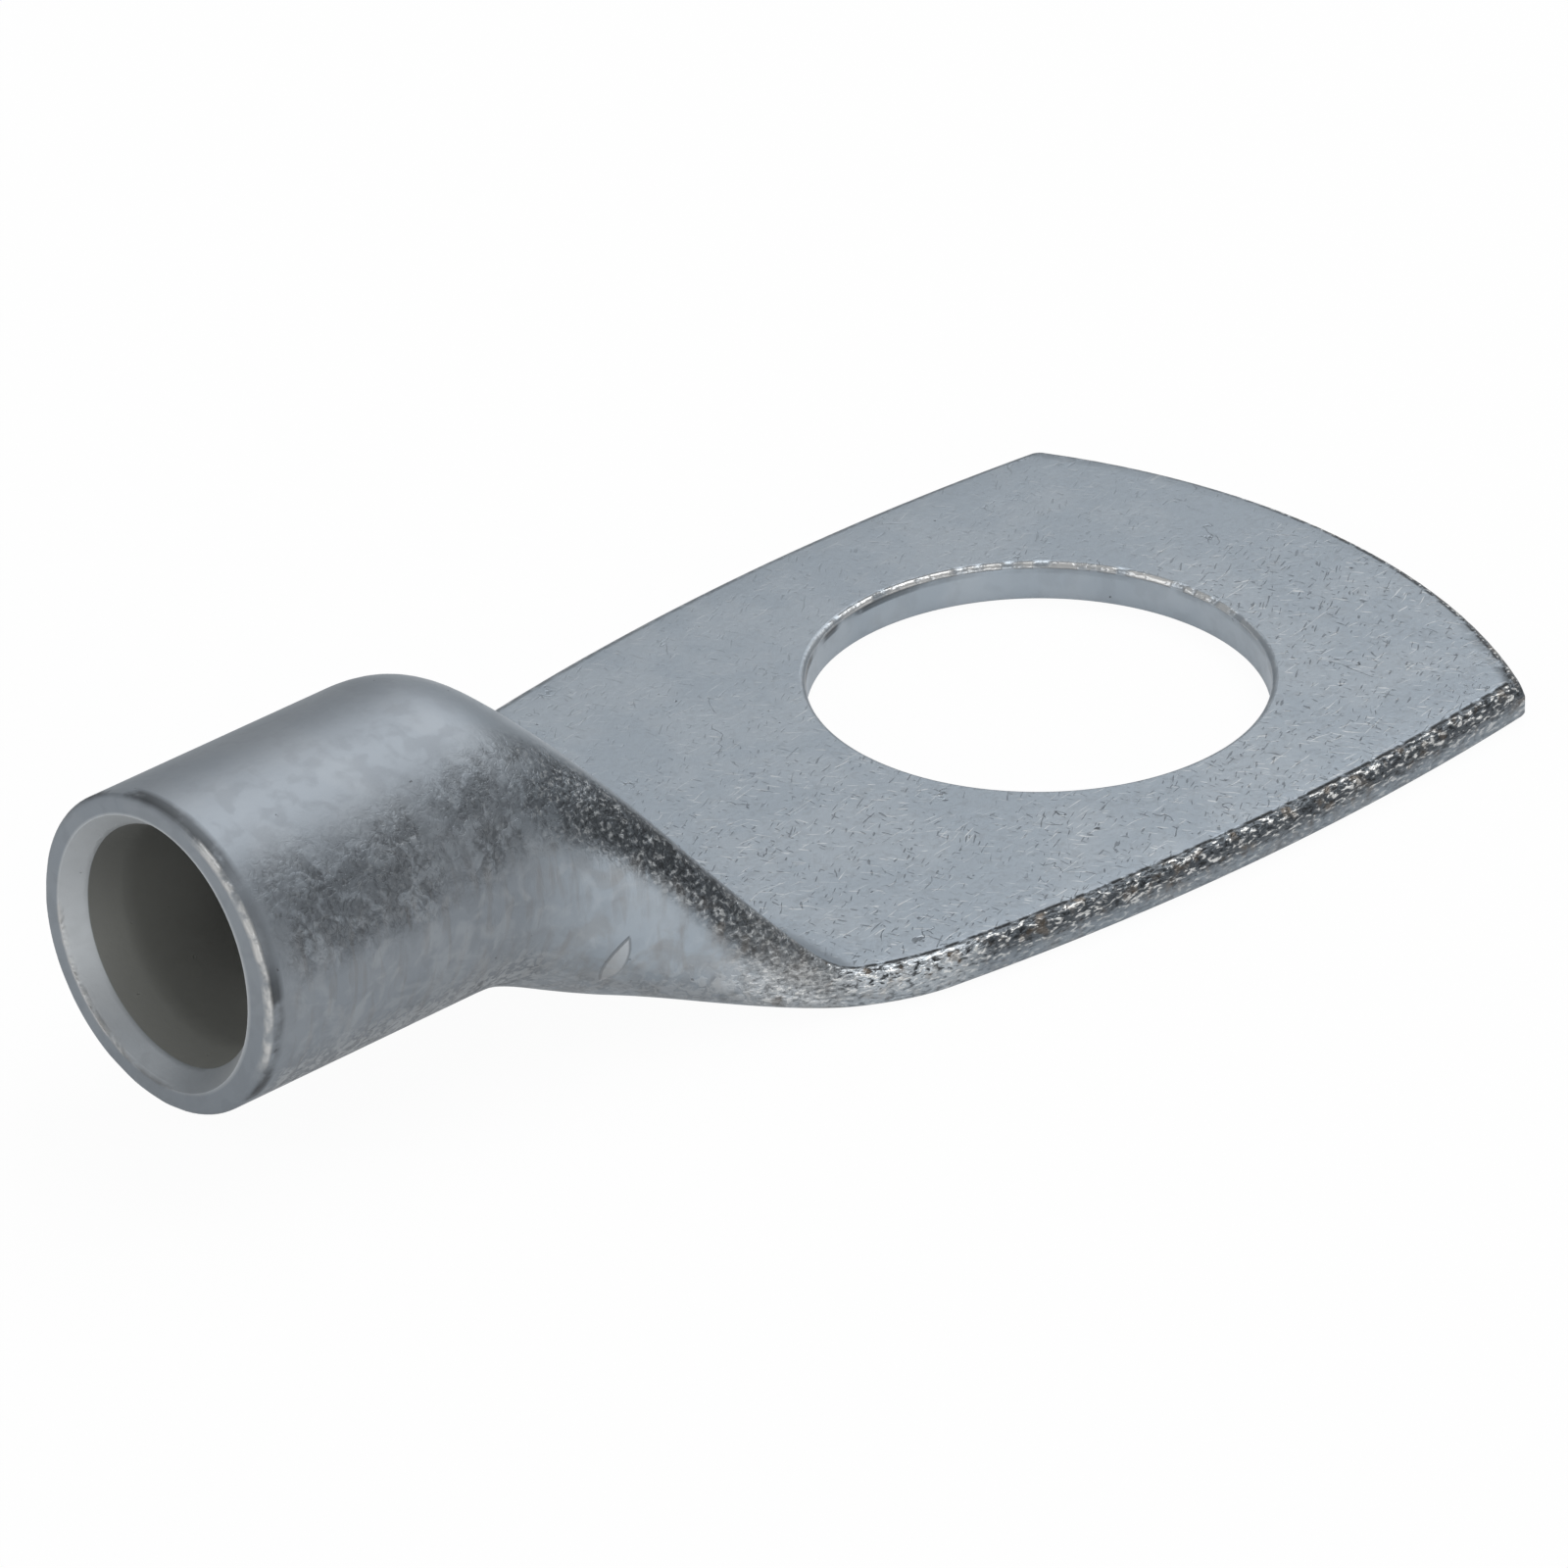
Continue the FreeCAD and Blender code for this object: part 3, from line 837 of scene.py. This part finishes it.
def paint_tube(plate):
    """Dull barrel, the painted dark reflection along its shoulder with its grain and mottling, and the
    streaks below it.
    """
    mark = plate.mark
    plate.paint("dull", mark["barrel"], 0.48)
    pressed = plate.math("SUBTRACT", 1.0, mark["barrel"])
    uneven = plate.span(plate.noise(plate.vector, 1.7, 3.0, 0.6), 0.38, 0.56, 0.4, 1.0)
    tongues = plate.math("MAXIMUM", pressed, uneven)
    grain_and_dark_reflection = plate.product(mark["grain_and_dark_reflection"], tongues)
    # Painted dark reflection along the shoulder band, mottled and strongest on the pressed neck; the fine
    # facets further down are grain
    mottled_dark_reflection = plate.mask("mottle", Size=0.75, Twist=1.4, Cover=0.6)
    plate.paint("tarnish_and_shade", mottled_dark_reflection, grain_and_dark_reflection, 0.40)
    plate.paint("tarnish_and_shade", grain_and_dark_reflection, pressed, 0.72)
    worms = plate.mask("mottle", Size=0.32, Twist=2.2, Cover=0.45)
    plate.paint("tarnish_and_shade", worms, grain_and_dark_reflection, 0.30)
    across = plate.add("Mapping", {"Vector": plate.vector, "Scale": (0.3, 1.5, 1.5)},
                       vector_type="TEXTURE").outputs[0]
    streak = plate.mask("mottle", across, Size=1.0, Twist=0.3, Cover=0.4)
    plate.paint("stain", streak, mark["flank"], 0.16)
    pale = plate.mask("mottle", Size=0.8, Twist=0.8, Cover=0.4)
    plate.paint("bright", pale, mark["flank"], 0.14)
    blots = plate.mask("mottle", Size=1.0, Twist=0.8, Cover=0.42)
    plate.paint("stain", blots, mark["flank"], pressed, 0.24)
    crust = plate.mask("mottle", Size=0.3, Twist=1.2, Cover=0.5)
    plate.paint("dull", mark["belly"], 0.42)
    plate.paint("bright", crust, mark["belly"], 0.4)
    spots = plate.mask("mottle", Size=0.5, Twist=1.0, Cover=0.28)
    plate.paint("tarnish_and_shade", spots, mark["belly"], 0.45)
    crisp = plate.product(grain_and_dark_reflection, plate.span(mark["barrel"], 0.0, 1.0, 1.0, 0.25))
    fine = plate.placed("grain", Size=0.15)
    plate.paint("bright", fine["Bright"], crisp, 0.45)
    plate.paint("tarnish_and_shade", fine["Dark"], crisp, 0.62)
    depth = plate.math("ADD", 0.14, plate.product(crisp, 1.2))
    plate.lift(fine["Height"], depth)
    plate.lift(mottled_dark_reflection, grain_and_dark_reflection, -0.4)
    plate.lift(worms, grain_and_dark_reflection, -0.4)
    plate.lift(streak, mark["flank"], 0.14)
    plate.lift(crust, mark["belly"], 0.5)


def paint_edges(plate):
    """Painted glints and sheen of the sheared edge and the bent corners, with the painted dark reflection
    of the edge and its lip, the painted shadow lines and highlights of the mouth and the stud hole, and
    the countersink; returns the mask of the painted glints and highlights.
    """
    mark = plate.mark
    rough = plate.math("MAXIMUM", mark["edge"], mark["sparkle"])
    drawn = plate.add("VectorMath", {0: plate.vector, 1: EDGE_GRAIN_STRETCH},
                      operation="MULTIPLY").outputs[0]
    coarse = plate.placed("grain", drawn, Size=0.15)
    glints = plate.product(coarse["Bright"], rough)
    # Painted dark reflection on the sheared edge, lighter towards its foot and kept off the sparkling
    # corners
    plate.paint("tarnish_and_shade", mark["edge"], plate.math("SUBTRACT", 1.0, mark["sparkle"]), 0.76)
    # Painted sheen and painted glints on the bent corners and the sheared edge
    plate.paint("bright", mark["sparkle"], 0.40)
    plate.paint("shine", glints, 0.85)
    plate.paint("tarnish_and_shade", coarse["Dark"], mark["edge"], 0.85)
    plate.paint("tarnish_and_shade", coarse["Dark"], mark["sparkle"], 0.6)
    plate.paint("stain", plate.mask("mottle", Size=0.5, Cover=0.35), rough, 0.5)
    # Painted dark reflection line along the lip, broken up
    broken = plate.span(plate.noise(plate.vector, 0.35, 2.0), 0.36, 0.54)
    plate.paint("tarnish_and_shade", mark["lip"], broken, 0.9)
    # Painted shadow lines with wear at the mouth's rim and under the stud hole's rolled edge
    broken_shadow_wear = plate.span(plate.noise(plate.vector, 1.3, 4.0), 0.36, 0.56)
    plate.paint("tarnish_and_shade", mark["shadow_line_and_wear"], broken_shadow_wear, 0.8)
    plate.paint("bright", mark["cone"], 0.6)
    # Painted highlights on arcs of the mouth's rim and on the far side of the stud hole's rolled edge,
    # with the burr's beads
    beads = plate.span(plate.noise(plate.vector, 0.6, 3.0), 0.36, 0.60, 0.15, 1.0)
    plate.paint("cut", mark["burr_and_highlight"], beads)
    plate.lift(coarse["Height"], rough, 2.8)
    plate.lift(beads, mark["burr_and_highlight"], 1.6)
    plate.lift(broken_shadow_wear, mark["shadow_line_and_wear"], -1.0)
    return plate.math("MAXIMUM", glints, plate.product(mark["burr_and_highlight"], beads, 0.6))


def press_mark(plate):
    """Mask of the leaf-shaped dent where the press held the neck, as two balls cross."""
    sides = []
    for centre in PRESS_MARK_CENTRES:
        away = plate.add("VectorMath", {0: plate.vector, 1: centre}, operation="DISTANCE").outputs["Value"]
        sides.append(plate.span(away, *PRESS_MARK_EDGE))
    return plate.product(*sides)


def tin_material(finish):
    """Tin plating: clean on the palm, grained where it was bent and darkened there by painted dark
    reflection, with painted glints, painted highlights and painted shadow lines with wear at the edges.
    """
    material = bpy.data.materials.new("tin_plate")
    material.use_nodes = True
    shader = material.node_tree.nodes["Principled BSDF"]
    plate = Plating(material.node_tree, finish)
    mark = plate.mark
    tone = plate.tone

    cloud = paint_palm(plate)
    paint_tube(plate)
    glints = paint_edges(plate)
    dent = press_mark(plate)
    plate.paint("cut", dent, 0.35)
    plate.lift(dent, -3.0)
    # Painted shading inside the bore: painted shade at its top, painted light deeper in
    inside = plate.blend(plate.product(mark["bore_top_shade"], 0.4), tone["bore"], tone["tarnish_and_shade"])
    inside = plate.blend(plate.product(mark["deep_bore_light"], 0.5), inside, tone["cut"])
    colour = plate.blend(mark["bore"], plate.colour, inside)
    plate.tree.links.new(colour, shader.inputs["Base Color"])

    rough = plate.math("ADD", finish.roughness, plate.product(cloud, 0.03))
    rough = plate.math("ADD", rough, plate.product(mark["barrel"], 0.17))
    rough = plate.math("SUBTRACT", rough, plate.product(glints, 0.16))
    rough = plate.math("ADD", rough, plate.product(mark["bore"], 0.2))
    plate.tree.links.new(rough, shader.inputs["Roughness"])
    # Painted glints and highlights lose part of their metal so that they show white; the bore loses more
    plain = plate.math("ADD", plate.product(mark["bore"], 0.65), plate.product(glints, 0.5))
    plate.tree.links.new(plate.math("SUBTRACT", 1.0, plain), shader.inputs["Metallic"])
    bump = plate.add("Bump", {"Strength": 1.0, "Distance": finish.grain, "Height": plate.height})
    plate.tree.links.new(bump.outputs[0], shader.inputs["Normal"])
    return material


class Spot:
    """One point of the terminal: where it is, how it is turned and what it is part of."""

    def __init__(self, s, vert):
        self.x, self.y, self.z = vert.co
        self.tilt = vert.normal.z
        self.sideways = ramp(abs(vert.normal.y), *SIDE_TURN)
        self.past_mouth = self.x - mouth_place(s)
        self.past_barrel = self.x - neck_start(s)
        self.above_axis = self.z - axis_height(s)
        middle = 0.5 * (neck_top(s, max(self.x, fall_start(s))) + neck_bottom(s, self.x))
        towards_middle = self.y * vert.normal.y + (self.z - middle) * vert.normal.z < 0.0
        bore_end = neck_start(s) + BORE_MARK_SHARE * s.neck_length
        inside = towards_middle and mouth_place(s) + s.entry_depth < self.x < bore_end
        self.outside = 0.0 if inside else 1.0
        self.flat = ramp(self.x + s.crease, *FLAT_FADE)
        self.tube = self.outside * ramp(self.past_mouth, *TUBE_FADE) * (1.0 - self.flat)


def dark_reflection_band_share(s, spot):
    """Band of painted dark reflection, with grain, along the shoulder of the barrel, which narrows to the
    ridge of the neck.
    """
    bent = ramp(spot.x, *BAND_BEND)
    pressed = ramp(spot.x, *BAND_PRESS)
    drop = neck_top(s, max(spot.x, fall_start(s))) - spot.z
    middle, reach = [between(between(on_tube, on_neck, bent), at_end, pressed)
                     for on_tube, on_neck, at_end in (BAND_DROPS, BAND_REACHES)]
    return spot.tube * spot.sideways * band(drop, middle, BAND_CORE_SHARE * reach, reach)


def tube_marks(spot):
    """Flank, barrel and belly of the tube, and its inside, with painted shade at its top and painted light
    deeper in.
    """
    under = ramp(-spot.tilt, *BELLY_TURN) * (1.0 - ramp(spot.past_barrel, *BELLY_FADE))
    foot = (1.0 - ramp(spot.z, *FOOT_HEIGHTS)) * ramp(spot.past_barrel, *FOOT_FADE) * spot.sideways
    return {
        "flank": spot.tube * (1.0 - ramp(spot.tilt, *FLANK_TURN)),
        "barrel": spot.outside * (1.0 - ramp(spot.past_barrel, *BARREL_FADE)),
        "belly": spot.tube * max(under, FOOT_STRENGTH * foot),
        "bore": 1.0 - spot.outside,
        "bore_top_shade": ramp(spot.above_axis, *BORE_TOP_HEIGHTS),
        "deep_bore_light": ramp(spot.past_mouth, *DEEP_FADE),
    }


def palm_marks(s, spot, grain_and_dark_reflection):
    """Bent corners with painted glints, sheared edge and the line along its lip with painted dark
    reflection, and level top of the palm.
    """
    to_side = half_width_at(s, min(spot.x, SIDE_END)) - abs(spot.y)
    to_tip = s.tip_arc - math.hypot(spot.x - s.tip_reach + s.tip_arc, spot.y)
    near_edge = min(to_side, to_tip)
    corner = band(spot.x, *CORNER_RUN) * ramp(abs(spot.y), *CORNER_OUT) * weakened(spot.z, *CORNER_FOOT)
    sheared = (1.0 - ramp(near_edge, *EDGE_DEPTH)) * weakened(spot.z, *EDGE_FOOT)
    lip = band(near_edge, *LIP_LINE) * ramp(spot.z, *LIP_HEIGHTS)
    level = ramp(abs(spot.tilt), *LEVEL_TURN)
    return {
        "sparkle": spot.outside * spot.sideways * corner * (1.0 - CORNER_DARK_BAND_SHARE * grain_and_dark_reflection),
        "edge": spot.outside * spot.flat * sheared * weakened(spot.y, *EDGE_FAR),
        "lip": spot.flat * lip * weakened(spot.y, *LIP_FAR),
        "level": spot.flat * level * weakened(spot.y, *LEVEL_FAR),
    }


def mouth_marks(s, spot):
    """Painted shadow lines with wear, burr with painted highlights, and countersink of the mouth."""
    lead, entry = opening_radii(s)[1:]
    from_axis = math.hypot(spot.y, spot.above_axis)
    unleant = spot.y / (1.0 - OPENING_LEAN) if spot.y < 0.0 else spot.y
    opened = math.hypot(unleant, spot.above_axis)
    around = math.degrees(math.atan2(-spot.y, spot.above_axis))
    at_face = 1.0 - ramp(spot.past_mouth, *FACE_FADE)
    on_rim = ramp(from_axis - s.barrel_radius, *RIM_FADE)
    behind = band(spot.past_mouth, *RIM_LINE) * on_rim
    brink = at_face * band(opened, entry, *BRINK_FADE)
    shadow_line_and_wear = behind * max([RIM_LEAST_SHADOW_WEAR] + [band(around, *arc) for arc in RIM_DARK_ARCS])
    shadow_line_and_wear = max([shadow_line_and_wear] + [brink * band(around, *arc) for arc in BRINK_DARK_ARCS])
    burr_and_highlight = max(at_face * on_rim * band(around, *RIM_PALE_ARC), brink * band(around, *BRINK_PALE_ARC))
    half_cone = 0.5 * (entry - lead)
    cone = band(opened, 0.5 * (lead + entry), half_cone, half_cone + CONE_FADE)
    cone *= between(1.0, CONE_DARK_STRENGTH, band(abs(around), *CONE_DARK_ARC))
    if spot.past_mouth > s.entry_depth + CONE_SLACK:
        cone = 0.0
    return shadow_line_and_wear, burr_and_highlight, cone


def hole_marks(s, spot):
    """Painted shade line under the rolled edge of the stud hole and the painted highlight along it."""
    from_middle = max(math.hypot(spot.x, spot.y), MM)
    if from_middle > s.hole_radius + HOLE_RIM_SHARE * s.thickness:
        return 0.0, 0.0
    across, along = HOLE_FAR_WAY
    to_far = (across * spot.x + along * spot.y) / from_middle
    to_left = (across * spot.y - along * spot.x) / from_middle
    height = spot.z / s.thickness
    pale = band(height, *HOLE_PALE_LINE) * weakened(to_far, *HOLE_PALE_PART)
    dark = band(height, *HOLE_DARK_LINE) * weakened(to_left, *HOLE_DARK_PART)
    return dark, pale


def place_marks(mesh, s):
    """Gives each point its share of the finishes, painted light and painted shade that keep to one place.
    """
    marks = {name: [] for name in MARKS}
    for vert in mesh.vertices:
        spot = Spot(s, vert)
        grain_and_dark_reflection = dark_reflection_band_share(s, spot)
        mouth_shadow_wear, mouth_burr_highlight, cone = mouth_marks(s, spot)
        hole_shadow_line, hole_pale = hole_marks(s, spot)
        shares = {"grain_and_dark_reflection": grain_and_dark_reflection, "cone": cone, **tube_marks(spot), **palm_marks(s, spot, grain_and_dark_reflection)}
        shares["shadow_line_and_wear"] = max(mouth_shadow_wear, hole_shadow_line)
        shares["burr_and_highlight"] = max(mouth_burr_highlight, hole_pale)
        for name in MARKS:
            marks[name].append(shares[name])
    for name, values in marks.items():
        mesh.attributes.new(name, "FLOAT", "POINT").data.foreach_set("value", values)


class OBJECT_OT_ring_terminal_body(bpy.types.Operator):
    """Builds the terminal as one shell with its stud hole and bore"""
    bl_idname = "object.ring_terminal_body"
    bl_label = "Ring Terminal"

    def execute(self, context):
        sizes = context.scene.lug_sizes
        mesh = bpy.data.meshes.new("ring_terminal")
        shell_from_rings(mesh, lug_rings(sizes))
        piece = bpy.data.objects.new("ring_terminal", mesh)
        context.scene.collection.objects.link(piece)
        cut_hole(piece, hole_cutter(sizes))
        piece.data.materials.clear()
        piece.data.materials.append(tin_material(context.scene.lug_finish))
        piece.data.shade_smooth()
        piece.data.set_sharp_from_angle(angle=SHARP_ANGLE)
        sharpen_brim(piece.data, sizes)
        place_marks(piece.data, sizes)
        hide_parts(NODE)
        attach(piece, "root")
        return {"FINISHED"}


def turned(azimuth, elevation, roll, aim, distance):
    """Place of a camera or lamp that looks at aim from an azimuth and elevation in degrees."""
    around = math.radians(azimuth)
    above = math.radians(elevation)
    lean = math.radians(roll)
    out = math.cos(above)
    back = Vector((math.sin(around) * out, -math.cos(around) * out, math.sin(above)))
    level = Vector((math.cos(around), math.sin(around), 0.0))
    plumb = back.cross(level)
    right = level * math.cos(lean) + plumb * math.sin(lean)
    up = plumb * math.cos(lean) - level * math.sin(lean)
    rows = Matrix((right, up, back)).transposed().to_4x4()
    return Matrix.Translation(aim + back * distance) @ rows


def add_softbox(name, azimuth, elevation, distance, size, power):
    """Rectangular lamp that faces the terminal."""
    lamp = bpy.data.lights.new(name, "AREA")
    lamp.shape = "RECTANGLE"
    lamp.size = size[0] * MM
    lamp.size_y = size[1] * MM
    lamp.energy = power
    holder = bpy.data.objects.new(name, lamp)
    holder.matrix_world = turned(azimuth, elevation, 0.0, SOFTBOX_AIM, distance * MM)
    bpy.context.scene.collection.objects.link(holder)


def floor_material(look):
    """Pale floor that stays white to the camera and in reflections, and keeps the soft shadow."""
    material = bpy.data.materials.new("studio_floor")
    material.use_nodes = True
    nodes = material.node_tree.nodes
    shader = nodes["Principled BSDF"]
    shader.inputs["Base Color"].default_value = (*look.floor, 1.0)
    shader.inputs["Roughness"].default_value = 0.9
    shader.inputs["Specular IOR Level"].default_value = 0.0
    graph = Graph(material.node_tree)
    ray = graph.add("LightPath", {}).outputs
    reflected = graph.product(ray["Is Glossy Ray"], FLOOR_REFLECTED)
    shown = graph.add("Math", {0: ray["Is Camera Ray"], 1: FLOOR_SHOWN, 2: reflected},
                      operation="MULTIPLY_ADD").outputs[0]
    white = graph.add("Emission", {"Strength": 1.0}).outputs[0]
    mix = graph.add("MixShader", {0: shown, 1: shader.outputs[0], 2: white}).outputs[0]
    graph.tree.links.new(mix, nodes["Material Output"].inputs["Surface"])
    return material


class OBJECT_OT_ring_terminal_stage(bpy.types.Operator):
    """Adds the floor, the soft lamps and the camera"""
    bl_idname = "object.ring_terminal_stage"
    bl_label = "Studio Stage"

    def execute(self, context):
        look = context.scene.studio_look
        made = bmesh.new()
        bmesh.ops.create_grid(made, x_segments=1, y_segments=1, size=3.0)
        mesh = bpy.data.meshes.new("studio_floor")
        made.to_mesh(mesh)
        made.free()
        floor = bpy.data.objects.new("studio_floor", mesh)
        floor.location.z = -FLOOR_DROP
        context.scene.collection.objects.link(floor)
        mesh.materials.append(floor_material(look))

        world = bpy.data.worlds.new("studio_world")
        context.scene.world = world
        world.use_nodes = True
        background = world.node_tree.nodes["Background"]
        background.inputs["Color"].default_value = SKY
        background.inputs["Strength"].default_value = 1.0

        for name, values in SOFTBOXES.items():
            add_softbox(name, *values)

        lens = bpy.data.cameras.new("photo_camera")
        lens.lens = look.lens
        lens.sensor_width = 36.0
        lens.clip_start = 0.01
        camera = bpy.data.objects.new("photo_camera", lens)
        camera.matrix_world = turned(*CAMERA_TURN, CAMERA_AIM, CAMERA_DISTANCE)
        context.scene.collection.objects.link(camera)
        context.scene.camera = camera
        context.scene.view_settings.view_transform = "Standard"
        return {"FINISHED"}


class VIEW3D_PT_ring_terminal(bpy.types.Panel):
    """Lists the operators and the values that they use"""
    bl_label = "Ring Terminal"
    bl_idname = "VIEW3D_PT_ring_terminal"
    bl_space_type = "VIEW_3D"
    bl_region_type = "UI"
    bl_category = "Ring Terminal"

    def draw(self, context):
        for operator in OPERATORS:
            self.layout.operator(operator.bl_idname)
        for values in (context.scene.lug_sizes, context.scene.lug_finish, context.scene.studio_look):
            box = self.layout.box()
            for name in values.__annotations__:
                box.prop(values, name)


OPERATORS = (OBJECT_OT_ring_terminal_body, OBJECT_OT_ring_terminal_stage)
CLASSES = (LugSizes, LugFinish, StudioLook) + OPERATORS + (VIEW3D_PT_ring_terminal,)


def register():
    for made_class in CLASSES:
        bpy.utils.register_class(made_class)
    bpy.types.Scene.lug_sizes = bpy.props.PointerProperty(type=LugSizes)
    bpy.types.Scene.lug_finish = bpy.props.PointerProperty(type=LugFinish)
    bpy.types.Scene.studio_look = bpy.props.PointerProperty(type=StudioLook)


def unregister():
    del bpy.types.Scene.studio_look
    del bpy.types.Scene.lug_finish
    del bpy.types.Scene.lug_sizes
    for made_class in reversed(CLASSES):
        bpy.utils.unregister_class(made_class)


def main():
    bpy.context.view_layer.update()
    register()
    bpy.ops.object.ring_terminal_body()
    bpy.ops.object.ring_terminal_stage()


if __name__ == "__main__":
    main()
